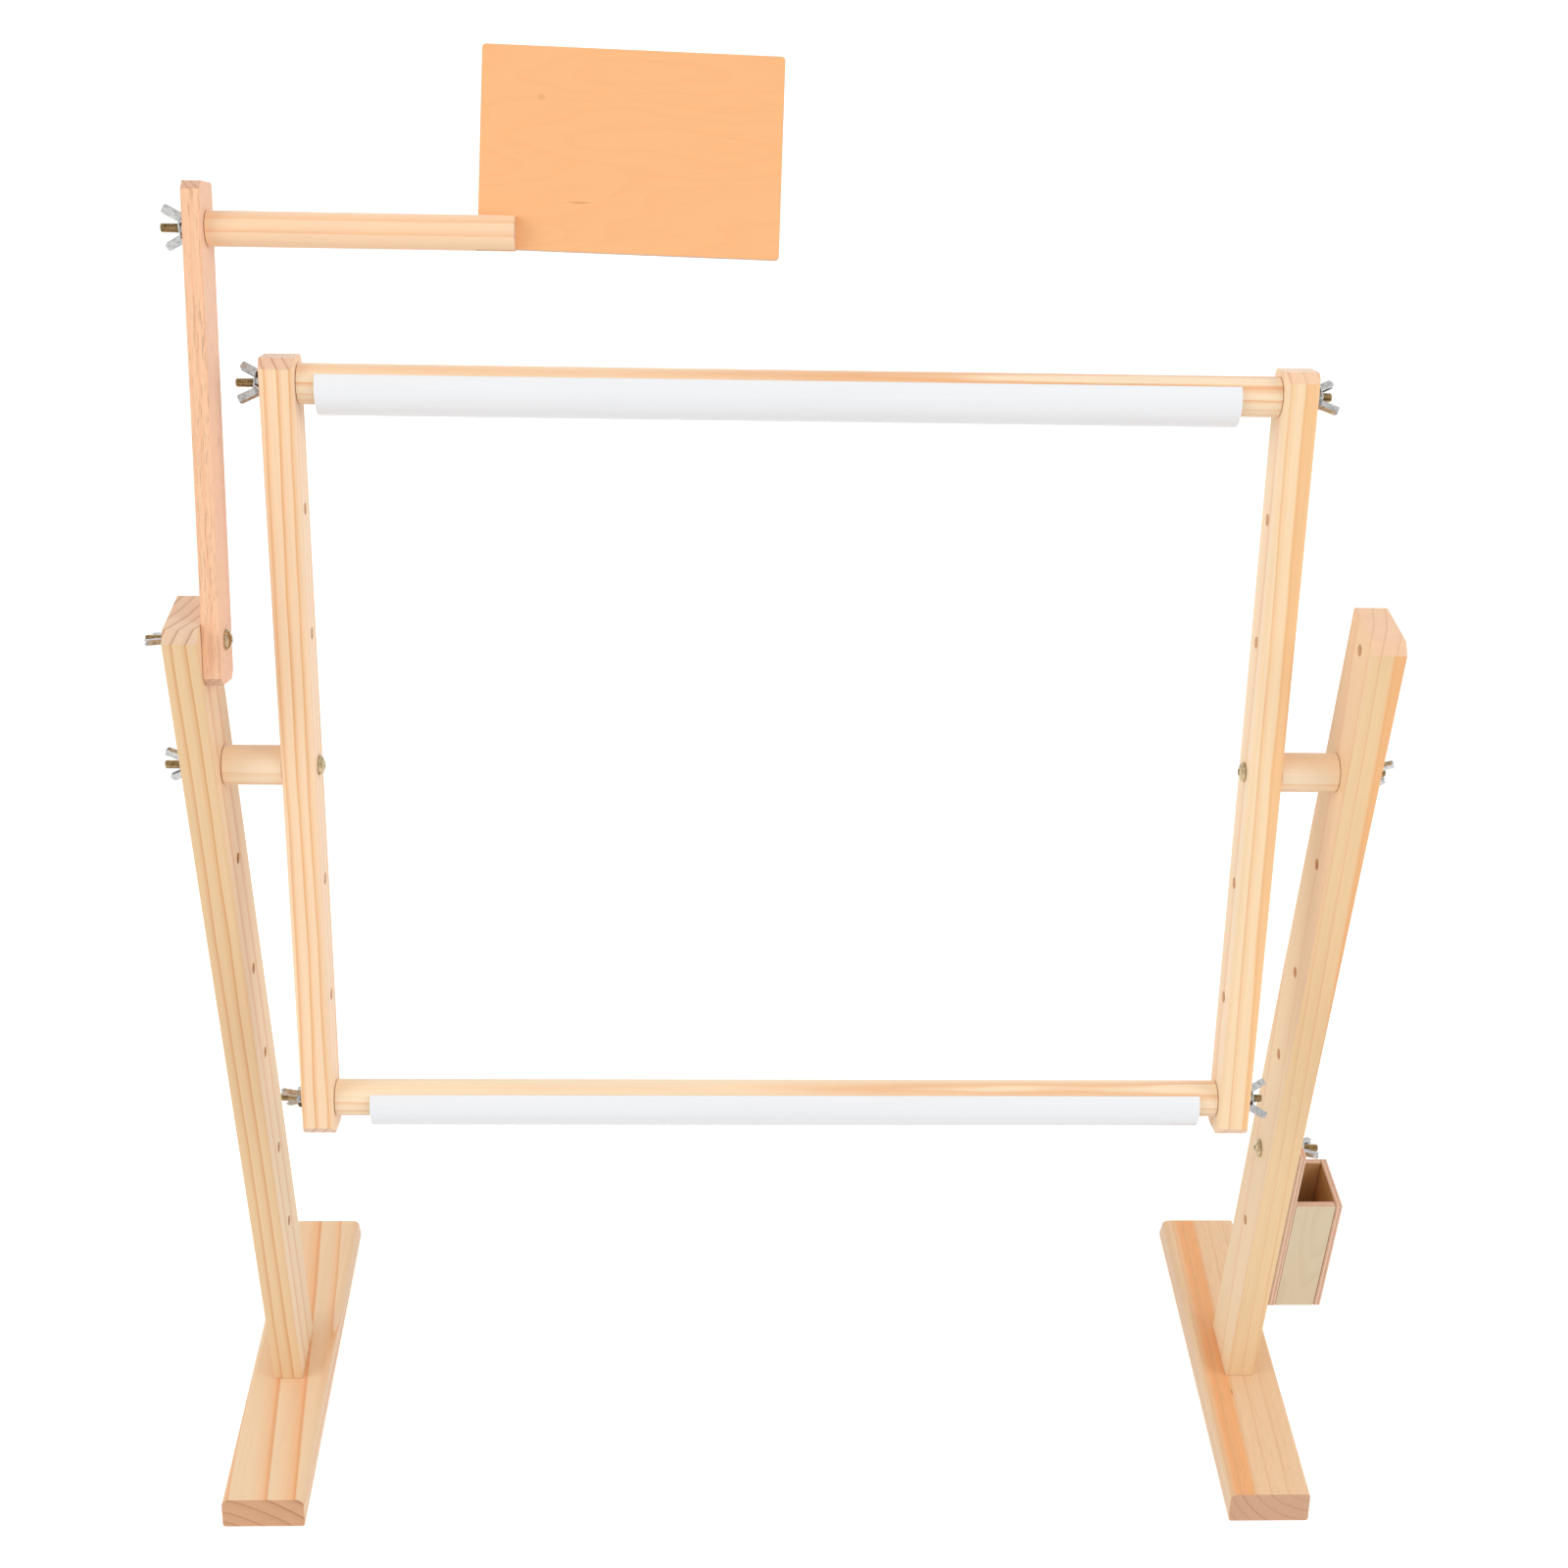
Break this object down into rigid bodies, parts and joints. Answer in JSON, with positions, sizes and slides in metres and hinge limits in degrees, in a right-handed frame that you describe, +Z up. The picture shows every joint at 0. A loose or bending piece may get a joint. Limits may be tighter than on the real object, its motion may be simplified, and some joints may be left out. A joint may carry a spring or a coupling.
{
  "type": "embroidery frame stand",
  "caption": "Wooden floor stand for embroidery: footed uprights hold a tilting roller frame, a leaning arm with a pattern board, and a small tool box.",
  "frame": {"origin": "on the floor, under the middle of the whole stand's box, with the frame leaning back and the pattern arm up as in the picture", "axes": "+X to the worker's right along the rollers, +Y away from the worker, +Z up; the soles of the feet are at z = 0"},
  "size_m": [0.8292, 0.297, 0.9971],
  "materials": {
    "pine": "planed pine, unvarnished, with orange-brown grain lines and darker end grain",
    "beech": "planed beech, pinkish, with short fine pores",
    "orange_ply": "thin plywood with a warm orange face veneer and faint figure",
    "birch_ply": "sawn birch plywood with layered reddish-brown edges",
    "white_pvc": "smooth white extruded plastic, soft gloss",
    "zinc": "bright zinc-plated steel",
    "yellow_zinc": "yellow zinc-plated steel"
  },
  "bodies": {
    "stand": {"left_foot": "pine", "right_foot": "pine", "left_foot_front_screw": "zinc", "left_foot_rear_screw": "zinc", "right_foot_front_screw": "zinc", "right_foot_rear_screw": "zinc", "left_upright": "pine", "right_upright": "pine", "left_pivot_spacer": "pine", "right_pivot_spacer": "pine", "left_pivot_bolt": "yellow_zinc", "right_pivot_bolt": "yellow_zinc", "arm_bolt": "yellow_zinc", "box_bolt": "yellow_zinc"},
    "tilting_frame": {"left_frame_bar": "pine", "right_frame_bar": "pine"},
    "upper_roller": {"top_roller": "pine", "left_top_roller_stud": "yellow_zinc", "right_top_roller_stud": "yellow_zinc"},
    "lower_roller": {"bottom_roller": "pine", "left_bottom_roller_stud": "yellow_zinc", "right_bottom_roller_stud": "yellow_zinc"},
    "upper_clip": {"top_fabric_clip": "white_pvc"},
    "lower_clip": {"bottom_fabric_clip": "white_pvc"},
    "left_upper_nut": {"left_top_roller_wing_nut": "zinc"},
    "right_upper_nut": {"right_top_roller_wing_nut": "zinc"},
    "left_lower_nut": {"left_bottom_roller_wing_nut": "zinc"},
    "right_lower_nut": {"right_bottom_roller_wing_nut": "zinc"},
    "left_pivot_nut": {"left_pivot_wing_nut": "zinc"},
    "right_pivot_nut": {"right_pivot_wing_nut": "zinc"},
    "arm": {"pattern_arm": "beech"},
    "arm_nut": {"arm_wing_nut": "zinc"},
    "pattern_holder": {"pattern_dowel": "pine", "pattern_dowel_stud": "yellow_zinc", "pattern_board": "orange_ply"},
    "dowel_nut": {"pattern_dowel_wing_nut": "zinc"},
    "tool_box": {"box_plate": "birch_ply", "box_front": "birch_ply", "box_back": "birch_ply", "box_outer_side": "birch_ply", "box_floor": "birch_ply"},
    "box_nut": {"box_wing_nut": "zinc"}
  },
  "joints": [
    {"name": "frame_tilt", "type": "hinge", "parent": "stand", "child": "tilting_frame", "pos_m": [0, -0.0028, 0.574], "axis": [1, 0, 0], "continuous": true},
    {"name": "top_roller_turn", "type": "hinge", "parent": "tilting_frame", "child": "upper_roller", "pos_m": [-0.01073, 0.05945, 0.81127], "axis": [1, 0, 0], "continuous": true},
    {"name": "bottom_roller_turn", "type": "hinge", "parent": "tilting_frame", "child": "lower_roller", "pos_m": [-0.01073, -0.0633, 0.3434], "axis": [1, 0, 0], "continuous": true},
    {"name": "top_clip_turn", "type": "hinge", "parent": "upper_roller", "child": "upper_clip", "pos_m": [-0.01792, 0.05945, 0.81127], "axis": [1, 0, 0], "continuous": true},
    {"name": "bottom_clip_turn", "type": "hinge", "parent": "lower_roller", "child": "lower_clip", "pos_m": [-0.00522, -0.0633, 0.3434], "axis": [1, 0, 0], "continuous": true},
    {"name": "left_top_roller_nut_turn", "type": "hinge", "parent": "upper_roller", "child": "left_upper_nut", "pos_m": [-0.33503, 0.05945, 0.81127], "axis": [-1, 0, 0], "continuous": true},
    {"name": "right_top_roller_nut_turn", "type": "hinge", "parent": "upper_roller", "child": "right_upper_nut", "pos_m": [0.31357, 0.05945, 0.81127], "axis": [1, 0, 0], "continuous": true},
    {"name": "left_bottom_roller_nut_turn", "type": "hinge", "parent": "lower_roller", "child": "left_lower_nut", "pos_m": [-0.33503, -0.0633, 0.3434], "axis": [-1, 0, 0], "continuous": true},
    {"name": "right_bottom_roller_nut_turn", "type": "hinge", "parent": "lower_roller", "child": "right_lower_nut", "pos_m": [0.31357, -0.0633, 0.3434], "axis": [1, 0, 0], "continuous": true},
    {"name": "left_pivot_nut_turn", "type": "hinge", "parent": "stand", "child": "left_pivot_nut", "pos_m": [-0.39572, -0.0028, 0.574], "axis": [-1, 0, 0], "continuous": true},
    {"name": "right_pivot_nut_turn", "type": "hinge", "parent": "stand", "child": "right_pivot_nut", "pos_m": [0.37428, -0.0028, 0.574], "axis": [1, 0, 0], "continuous": true},
    {"name": "arm_swing", "type": "hinge", "parent": "stand", "child": "arm", "pos_m": [-0.36783, -0.0028, 0.6665], "axis": [-1, 0, 0], "range_deg": [-80, 55]},
    {"name": "arm_nut_turn", "type": "hinge", "parent": "stand", "child": "arm_nut", "pos_m": [-0.39572, -0.0028, 0.6665], "axis": [-1, 0, 0], "continuous": true},
    {"name": "board_turn", "type": "hinge", "parent": "arm", "child": "pattern_holder", "pos_m": [-0.36192, 0.08202, 0.89954], "axis": [-1, 0, 0], "range_deg": [-90, 60]},
    {"name": "dowel_nut_turn", "type": "hinge", "parent": "pattern_holder", "child": "dowel_nut", "pos_m": [-0.37372, 0.08202, 0.89954], "axis": [-1, 0, 0], "continuous": true},
    {"name": "box_swing", "type": "hinge", "parent": "stand", "child": "tool_box", "pos_m": [0.37428, -0.0028, 0.241], "axis": [1, 0, 0], "continuous": true},
    {"name": "box_nut_turn", "type": "hinge", "parent": "stand", "child": "box_nut", "pos_m": [0.37957, -0.0028, 0.241], "axis": [1, 0, 0], "continuous": true}
  ]
}
